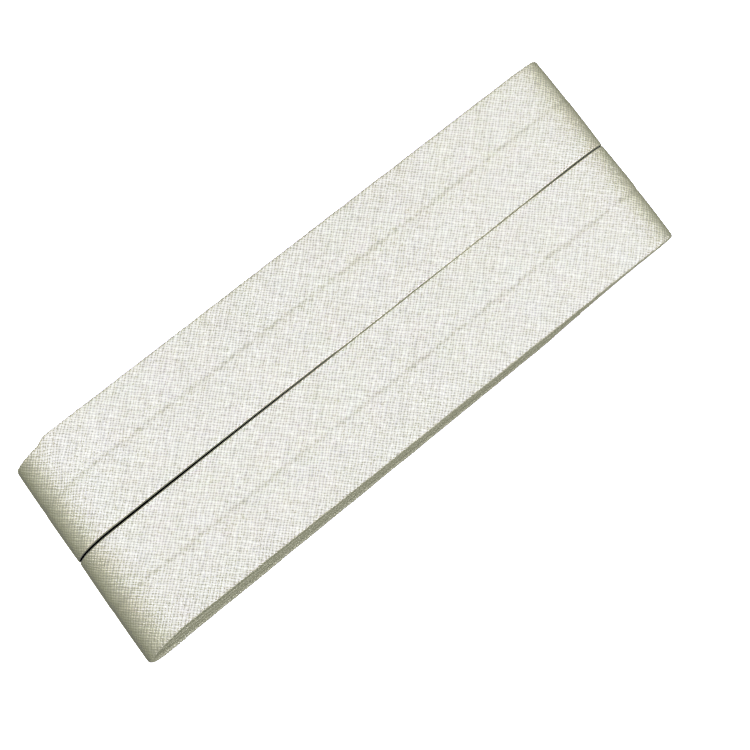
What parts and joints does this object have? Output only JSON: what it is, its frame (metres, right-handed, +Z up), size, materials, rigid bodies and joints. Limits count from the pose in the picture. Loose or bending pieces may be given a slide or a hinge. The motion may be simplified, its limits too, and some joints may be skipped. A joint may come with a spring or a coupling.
{
  "type": "flat roll of bias tape",
  "caption": "Flat-wound roll of folded cotton bias tape: two folded edges meet in a narrow slit, rounded bends at both ends, flat underside to lie on.",
  "frame": {"origin": "middle of the roll's footprint, on the surface that it lies on", "axes": "+X along the roll towards its shorter-turned end, +Y across the tape, +Z up through the flat runs"},
  "size_m": [0.088, 0.0312, 0.0075],
  "materials": {
    "cotton": "unbleached plain-weave cotton cut on the bias, ironed and matt"
  },
  "bodies": {
    "root": {"tape_roll": "cotton"}
  },
  "joints": []
}
